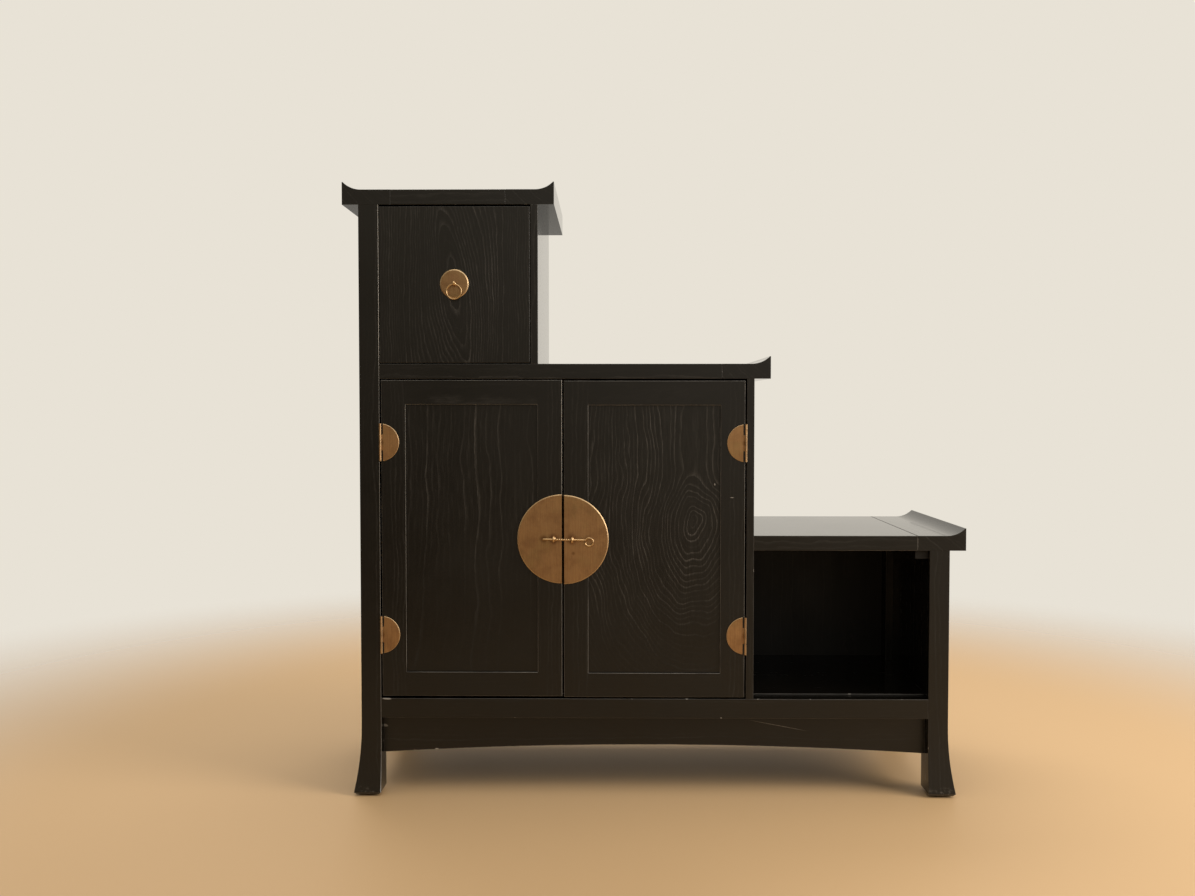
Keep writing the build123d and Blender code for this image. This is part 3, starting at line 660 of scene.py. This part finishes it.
wireBrass = agedBrass("handledBrassWire", {**brass, "roughness": 0.26, "metal": "#cda977"}, brushed=False)
hingeLook = {**brass, "metal": "#ab875f"}
hingeBrass = agedBrass("agedHingeBrass", hingeLook)
for node in nodes:
    if "post_leaves" in node or "hinge_pins" in node:
        dress(node, hingeBrass)

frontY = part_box("drawer_front")[0].y      # the plane of the door and drawer fronts


def rounded(halfWide, halfThick, count=16, turn=0.0, square=2.0):
    # section points; square is 2 for an ellipse, and more the nearer it comes to a rectangle
    points = []
    for j in range(count):
        angle = 2 * math.pi * j / count
        c, s = math.cos(angle), math.sin(angle)
        reach = (abs(c) ** square + abs(s) ** square) ** (-1 / square)
        u, v = reach * c * halfWide, reach * s * halfThick
        points.append((u * math.cos(turn) - v * math.sin(turn), u * math.sin(turn) + v * math.cos(turn)))
    return points


def sweep(bm, path, across, closed=False):
    # path: (place, section) pairs on a plane that across stands square to; section points in mm,
    # the first number along across and the second to the path's side
    rings = []
    count = len(path)
    for i, (place, section) in enumerate(path):
        before = path[i - 1][0] if i or closed else place
        after = path[(i + 1) % count][0] if i < count - 1 or closed else place
        side = (after - before).cross(across).normalized()
        rings.append([bm.verts.new(place + (across * u + side * v) * mm) for u, v in section])
    joined = zip(rings, rings[1:] + rings[:1]) if closed else zip(rings, rings[1:])
    for one, other in joined:
        for j in range(len(one)):
            k = (j + 1) % len(one)
            bm.faces.new((one[j], one[k], other[k], other[j]))
    if not closed:
        bm.faces.new(rings[0])
        bm.faces.new(rings[-1])


def turned(bm, profile, centre, steps, hammered=0.0):
    # profile: (radius, height towards -Y) in mm, from the middle of the front round to the back
    rings = []
    for radius, out in profile:
        ring = []
        for j in range(steps if radius else 1):
            angle = 2 * math.pi * j / steps
            x, z = radius * math.cos(angle), radius * math.sin(angle)
            dent = hammered * noise.noise(Vector((x / 8, z / 8, centre.z * 30))) if out > 0 else 0
            ring.append(bm.verts.new(centre + Vector((x, -(out + dent), z)) * mm))
        rings.append(ring)
    for one, other in zip(rings, rings[1:]):
        for j in range(steps):
            k = (j + 1) % steps
            corners = [one[j % len(one)], one[k % len(one)], other[k % len(other)], other[j % len(other)]]
            bm.faces.new(list(dict.fromkeys(corners)))


# sheet plates, sizes in mm: flat is how far the straight side lies from the disc's centre
lockPlate = {"radius": 75.0, "flat": 0.0, "thick": 1.5, "bevel": 1.5, "edge": 0.25, "dome": 0.45,
             "cells": 72, "hammered": 0.10}
hingeLeaf = {"radius": 31.5, "flat": 4.3, "thick": 1.2, "bevel": 0.7, "edge": 0.4, "dome": 0.25,
             "cells": 48, "hammered": 0.07}


def halfPlate(bm, centre, side, look):
    # a disc cut straight, its front towards -Y a little domed and uneven, its outline bevelled;
    # edge is the share of the bevel on the straight side
    radius, thick, bevel, cells = look["radius"], look["thick"], look["bevel"], look["cells"]

    def put(x, out, z):
        return bm.verts.new(centre + Vector((side * x, -out, z)) * mm)

    def front(x, z):
        dent = noise.noise(Vector((x / 11, z / 17, centre.x * 40 + centre.z * 9))) * look["hammered"]
        fade = max(0.0, 1 - (math.hypot(x, z) / radius) ** 2)
        return thick + look["dome"] * fade + dent * min(1.0, 3 * fade)

    def outline(inset):
        # points of the arc and of the matching straight side, from bottom to top
        r, flat = radius - inset, look["flat"] + inset * look["edge"]
        most = math.acos(flat / r)
        angles = [most * (2 * j / cells - 1) for j in range(cells + 1)]
        arc = [(r * math.cos(a), r * math.sin(a)) for a in angles]
        straight = [(flat, r * math.sin(most) * a / most) for a in angles]
        return arc, straight

    arc, straight = outline(bevel)
    steps = cells // 3
    rows = []
    for i in range(steps + 1):
        across = [(sx + (ax - sx) * i / steps, sz + (az - sz) * i / steps)
                  for (ax, az), (sx, sz) in zip(arc, straight)]
        rows.append([put(x, front(x, z), z) for x, z in across])
    for low, high in zip(rows, rows[1:]):
        for j in range(cells):
            bm.faces.new((low[j], low[j + 1], high[j + 1], high[j]))
    inner = rows[-1] + rows[0][-2:0:-1]
    arc, straight = outline(0)
    around = arc + straight[-2:0:-1]
    shoulder = [put(x, thick - 0.6 * bevel, z) for x, z in around]
    foot = [put(x, 0, z) for x, z in around]
    for upper, lower in ((inner, shoulder), (shoulder, foot)):
        for j in range(len(around)):
            k = (j + 1) % len(around)
            bm.faces.new((upper[j], upper[k], lower[k], lower[j]))
    bm.faces.new(foot)
    bmesh.ops.remove_doubles(bm, verts=bm.verts, dist=0.01 * mm)


def makeLockPlate(name, side, look):
    low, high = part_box(name + "_lock_plate")
    edgeX = low.x if side > 0 else high.x
    eye = boxMiddle(name + "_latch_eyelet")
    grime = [(Vector((eye.x, frontY, eye.z)), 12.0)]
    if side > 0:                       # a small reddish dark spot under the right eyelet
        grime.append((Vector((eye.x + 0.002, frontY, eye.z - 0.023)), 4.5))
    else:                              # and the pin's end rests here
        grime.append((Vector((eye.x - 0.017, frontY, eye.z)), 9.0))
    bm = bmesh.new()
    halfPlate(bm, Vector((edgeX, frontY, (low.z + high.z) / 2)), side, look)
    finishPiece(name + "LockPlate", bm, agedBrass(name + "LockPlateBrass", grime=grime),
                name + "_door", [name + "_lock_plate"], smoothAngle=28)


makeLockPlate("left", -1, lockPlate)
makeLockPlate("right", 1, lockPlate)

hingeBarrel = {"radius": 2.0, "long": 27.0, "off": 0.15, "eased": 0.6, "tab": 0.6, "behindBarrel": 0.3}


def makeHingeLeaves(name, side, leaf, barrel):
    # each door leaf: the half disc, a thin tab behind the slit, and the middle knuckle
    low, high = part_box(name + "_hinge_discs")
    axisX = (low.x if side > 0 else high.x) + side * barrel["radius"] * mm
    barrelY = frontY - (barrel["radius"] + barrel["off"]) * mm
    radius = leaf["radius"] * mm
    bm = bmesh.new()
    for z in (low.z + radius, high.z - radius):
        halfPlate(bm, Vector((axisX, frontY, z)), side, leaf)
        half = barrel["long"] / 2
        ends = ((-half, 0.8), (-half + barrel["eased"], 1.0), (half - barrel["eased"], 1.0), (half, 0.8))
        sweep(bm, [(Vector((axisX, barrelY, z + at * mm)),
                    rounded(barrel["radius"] * share, barrel["radius"] * share, 24))
                   for at, share in ends], Vector((1, 0, 0)))
        inner = axisX + side * barrel["behindBarrel"] * mm
        outer = axisX + side * (leaf["flat"] + 1.0) * mm
        tabMiddle = frontY - barrel["tab"] / 2 * mm
        sweep(bm, [(Vector((x, tabMiddle, z)), rounded(half - 0.2, barrel["tab"] / 2, 16, square=12))
                   for x in (inner, outer)], Vector((0, 0, 1)))
    grime = [(Vector((axisX, frontY, z)), 8.0) for z in (low.z + radius, high.z - radius)]
    finishPiece(name + "HingeLeaves", bm, agedBrass(name + "HingeBrass", hingeLook, grime=grime),
                name + "_door", [name + "_hinge_discs"], smoothAngle=28)


makeHingeLeaves("left", 1, hingeLeaf, hingeBarrel)
makeHingeLeaves("right", -1, hingeLeaf, hingeBarrel)

pullPlate = {"radius": 24.0, "thick": 1.5, "bevel": 1.8, "dome": 0.5, "rings": 12, "steps": 72,
             "hammered": 0.09, "metal": "#9d7f5c"}


def makePullPlate(look):
    middle = boxMiddle("pull_plate")
    flatRadius = look["radius"] - look["bevel"]
    profile = [(flatRadius * i / look["rings"],
                look["thick"] + look["dome"] * (1 - (i / look["rings"]) ** 2))
               for i in range(look["rings"] + 1)]
    profile += [(look["radius"], look["thick"] - look["bevel"] * 0.6), (look["radius"], 0), (0, 0)]
    bm = bmesh.new()
    centre = Vector((middle.x, frontY, middle.z))
    turned(bm, profile, centre, look["steps"], look["hammered"])
    material = agedBrass("pullPlateBrass", {**brass, "metal": look["metal"]}, grime=[(centre, 7.0)])
    finishPiece("pullPlate", bm, material, "drawer", ["pull_plate"], smoothAngle=28)


makePullPlate(pullPlate)

# split-pin eyelets: a strap bent to an eye, its two legs through a washer and the wood, and their
# tails spread on the inner face. Sizes in mm
latchEyelet = {"outer": 5.6, "tall": 1.07, "wide": 1.75, "thick": 1.1, "legWide": 1.2, "legThick": 0.68,
               "apart": 0.76, "steps": 36, "tail": 8.0, "washer": 3.2, "washerThick": 0.9,
               "plate": 1.85}          # plate: its front's height under the washer
pullEyelet = {**latchEyelet, "outer": 3.9, "tall": 1.0, "wide": 1.8, "thick": 0.6, "washer": 2.6,
              "plate": 1.95}


def makeEyelet(node, pieceName, body, look):
    low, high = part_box(node)
    middle = boxMiddle(node)
    eyeY = (low.y + middle.z - low.z) / mm         # the CAD eye is as deep as it is tall
    mean = look["outer"] - look["thick"]
    strap = rounded(look["wide"], look["thick"])
    leg = rounded(look["legWide"], look["legThick"])
    neck = rounded((look["wide"] + look["legWide"]) / 2, (look["thick"] + look["legThick"]) / 2)
    tip = rounded(0.6 * look["legWide"], 0.6 * look["legThick"])
    apart, back = look["apart"], high.y / mm
    legSide = [(back + 0.6, look["tail"], tip), (back + 0.7, look["tail"] - 2, leg),
               (back + 0.75, 3.4, leg), (back + 0.55, 2.0, leg), (back - 0.3, 1.1, leg),
               (back - 2.0, apart, leg), (eyeY + mean + 2.4, apart, leg), (eyeY + mean + 0.9, apart, neck)]
    opening = math.asin(apart / mean) + 0.12
    points = list(legSide)
    for i in range(look["steps"] + 1):
        angle = opening + (2 * math.pi - 2 * opening) * i / look["steps"]
        points.append((eyeY + mean * math.cos(angle), mean * look["tall"] * math.sin(angle), strap))
    points += [(y, -z, section) for y, z, section in reversed(legSide)]
    bm = bmesh.new()
    sweep(bm, [(Vector((middle.x, y * mm, middle.z + z * mm)), section) for y, z, section in points],
          Vector((1, 0, 0)))
    r, t = look["washer"], look["washerThick"]
    turned(bm, [(0, t), (r * 0.55, t), (r * 0.85, t * 0.8), (r, t * 0.35), (r, 0), (0, 0)],
           Vector((middle.x, frontY - look["plate"] * mm, middle.z)), 32)
    finishPiece(pieceName, bm, wireBrass, body, [node], smoothAngle=40)


for name in ("left", "right"):
    makeEyelet(name + "_latch_eyelet", name + "LatchEyelet", name + "_door", latchEyelet)
makeEyelet("pull_eyelet", "pullEyelet", "drawer", pullEyelet)

pullRing = {"wire": 1.25, "thinned": 0.12, "cast": 0.03, "steps": 96}    # wire in mm


def makePullRing(look):
    # a cast ring, thinned a little at the top where it turns in the eyelet
    low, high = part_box("pull_ring")
    middle = (low + high) / 2
    mean = (high.x - low.x) / 2 - look["wire"] * mm
    path = []
    for i in range(look["steps"]):
        angle = 2 * math.pi * i / look["steps"]
        c, s = math.cos(angle), math.sin(angle)
        thin = 1 - look["thinned"] * max(0.0, s) ** 6
        cast = 1 + look["cast"] * noise.noise(Vector((3 * c, 3 * s, 2)))
        wire = look["wire"] * thin * cast
        path.append((middle + Vector((mean * c, 0, mean * s)), rounded(wire, wire)))
    bm = bmesh.new()
    sweep(bm, path, Vector((0, 1, 0)), closed=True)
    finishPiece("pullRing", bm, wireBrass, "pull_ring", ["pull_ring"], smoothAngle=60)


makePullRing(pullRing)

# the latch pin: a rod whose middle is squared and twisted, its right end curled into an open loop.
# Sizes in mm
latchPin = {"rod": 1.8, "tip": 1.6, "squareHalf": 1.42, "clear": 4.0, "twists": 1.5, "loop": 6.7,
            "loopWire": 1.5, "bend": 3.2, "drop": 3.0, "curl": 305.0, "slope": 1.2, "loopRight": 44.0,
            "twistSteps": 28, "bendSteps": 8, "curlSteps": 48}


def makeLatchPin(look):
    low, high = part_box("latch_pin")
    middle = boxMiddle("latch_pin")
    leftEye, rightEye = boxMiddle("left_latch_eyelet"), boxMiddle("right_latch_eyelet")
    gapX = (leftEye.x + rightEye.x) / 2
    rodZ = (leftEye.z + rightEye.z) / 2
    start, between = (low.x - gapX) / mm, (rightEye.x - leftEye.x) / mm
    reach = look["loop"] + look["bend"]
    bendTurn = math.acos((look["drop"] + look["bend"]) / reach)
    rodEnd = look["loopRight"] - reach * math.sin(bendTurn)
    line = []                          # (right of the gap, above the rod, section)
    for at, share in ((0, 0.55), (0.35, 0.85), (0.9, 1.0), (5.0, 1.0), (9.0, 1.0)):
        line.append((start + at, 0.0, rounded(look["tip"] * share, look["tip"] * share)))
    span = between / 2 - look["clear"]    # the squared stretch stays between the eyelets
    for at in (-between / 2, -span - 1.5):
        line.append((at, 0.0, rounded(look["tip"], look["tip"])))
    steps = look["twistSteps"]
    for i in range(steps + 1):
        turn = 2 * math.pi * look["twists"] * i / steps
        line.append((-span + 2 * span * i / steps, 0.0,
                     rounded(look["squareHalf"], look["squareHalf"], turn=turn, square=6.0)))
    for at in (span + 1.5, between / 2, rodEnd - 3.0, rodEnd):
        line.append((at, 0.0, rounded(0.95 * look["rod"], 0.95 * look["rod"])))
    steps = look["bendSteps"]
    for i in range(1, steps + 1):
        angle = -math.pi / 2 + bendTurn * i / steps
        wire = look["rod"] + (look["loopWire"] - look["rod"]) * i / steps
        line.append((rodEnd + look["bend"] * math.cos(angle), look["bend"] * (1 + math.sin(angle)),
                     rounded(wire, wire)))
    first = math.pi / 2 + bendTurn
    steps = look["curlSteps"]
    for i in range(1, steps + 1):
        angle = first - math.radians(look["curl"]) * i / steps
        wire = look["loopWire"] * (1 - 0.3 * max(0.0, i / steps - 0.6))
        line.append((look["loopRight"] + look["loop"] * math.cos(angle),
                     -look["drop"] + look["loop"] * math.sin(angle), rounded(wire, wire)))
    fall = math.tan(math.radians(look["slope"]))
    path = [(Vector((gapX + x * mm, middle.y, rodZ + (z - x * fall) * mm)), section)
            for x, z, section in line]
    bm = bmesh.new()
    sweep(bm, path, Vector((0, 1, 0)))
    finishPiece("latchPin", bm, wireBrass, "latch_pin", ["latch_pin"], smoothAngle=40)


makeLatchPin(latchPin)

glides = {"dark": "#232120", "light": "#332f2c", "mottle": 260.0, "roughness": 0.5}


def mouldedNylon(look):
    # moulded nylon, matt and faintly mottled
    material, tree = newMaterial("nylonGlide")
    place = addNode(tree, "TexCoord").outputs["Object"]
    mottle = addNode(tree, "TexNoise", {"Vector": place, "Scale": look["mottle"]})
    tone = addNode(tree, "Mix", {"Factor": mottle, 6: linear(look["dark"]), 7: linear(look["light"])},
                   data_type="RGBA")
    skin = addNode(tree, "BsdfPrincipled", {"Base Color": tone, "Roughness": look["roughness"]})
    addNode(tree, "OutputMaterial", {"Surface": skin})
    return material


dress("foot_glides", mouldedNylon(glides))
print("metal and glides dressed")

# brads round the back panels, from Geometry Nodes. Sizes in mm
brads = {"spacing": 62.0, "head": 1.9, "proud": 0.7, "in": 8.0, "metal": "#8d7350", "roughness": 0.5}


def makeBradTree():
    tree = bpy.data.node_groups.new("brads", "GeometryNodeTree")
    tree.interface.new_socket("Geometry", in_out="INPUT", socket_type="NodeSocketGeometry")
    for name in ("Spacing", "Head", "Proud"):
        tree.interface.new_socket(name, in_out="INPUT", socket_type="NodeSocketFloat")
    tree.interface.new_socket("Brass", in_out="INPUT", socket_type="NodeSocketMaterial")
    tree.interface.new_socket("Geometry", in_out="OUTPUT", socket_type="NodeSocketGeometry")
    given = addNode(tree, "NodeGroupInput").outputs
    line = addNode(tree, "GeometryNodeMeshToCurve", {"Mesh": given["Geometry"]})
    spots = addNode(tree, "GeometryNodeResampleCurve", {"Curve": line, "Length": given["Spacing"]},
                    mode="LENGTH")
    head = addNode(tree, "GeometryNodeMeshUVSphere", {"Segments": 12, "Rings": 6, "Radius": 1.0})
    size = addNode(tree, "CombineXYZ", (given["Head"], given["Proud"], given["Head"]))
    lean = addNode(tree, "FunctionNodeRandomValue", {
        0: (-0.12, 0.0, -0.12), 1: (0.12, 0.0, 0.12), "Seed": 5}, data_type="FLOAT_VECTOR")
    placed = addNode(tree, "GeometryNodeInstanceOnPoints", {
        "Points": spots, "Instance": head, "Rotation": lean, "Scale": size})
    real = addNode(tree, "GeometryNodeRealizeInstances", {"Geometry": placed})
    shaded = addNode(tree, "GeometryNodeSetShadeSmooth", {"Geometry": real})
    clad = addNode(tree, "GeometryNodeSetMaterial", {"Geometry": shaded, "Material": given["Brass"]})
    addNode(tree, "NodeGroupOutput", {"Geometry": clad})
    return tree


def grown(name, mesh, tree, inputs):
    # runs a geometry tree on a mesh and returns the result as a plain mesh
    holder = addObject(name + "Holder", mesh)
    modifier = holder.modifiers.new(name, "NODES")
    modifier.node_group = tree
    sockets = {item.name: item.identifier for item in tree.interface.items_tree if item.in_out == "INPUT"}
    for key, value in inputs.items():
        modifier[sockets[key]] = value
    holder.update_tag()
    graph = bpy.context.evaluated_depsgraph_get()
    plain = bpy.data.meshes.new_from_object(holder.evaluated_get(graph))
    bpy.data.objects.remove(holder)
    plain.name = name
    return plain


def makeBrads(look):
    # a loop of brads just inside the edge of each back panel
    corners, edges = [], []
    for node in backPanels:
        low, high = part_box(node)
        inset = look["in"] * mm
        x0, x1, z0, z1 = low.x + inset, high.x - inset, low.z + inset, high.z - inset
        first = len(corners)
        corners += [(x0, high.y, z0), (x1, high.y, z0), (x1, high.y, z1), (x0, high.y, z1)]
        edges += [(first + i, first + (i + 1) % 4) for i in range(4)]
    outline = bpy.data.meshes.new("bradLines")
    outline.from_pydata(corners, edges, [])
    dull = {**brass, "metal": look["metal"], "roughness": look["roughness"]}
    nailBrass = agedBrass("dullBradBrass", dull, brushed=False)
    mesh = grown("backPanelBrads", outline, makeBradTree(), {
        "Spacing": look["spacing"] * mm, "Head": look["head"] * mm, "Proud": look["proud"] * mm,
        "Brass": nailBrass})
    piece = addObject("backPanelBrads", mesh)
    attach(piece, "carcass")
    print("brads:", len(mesh.polygons), "faces")


makeBrads(brads)
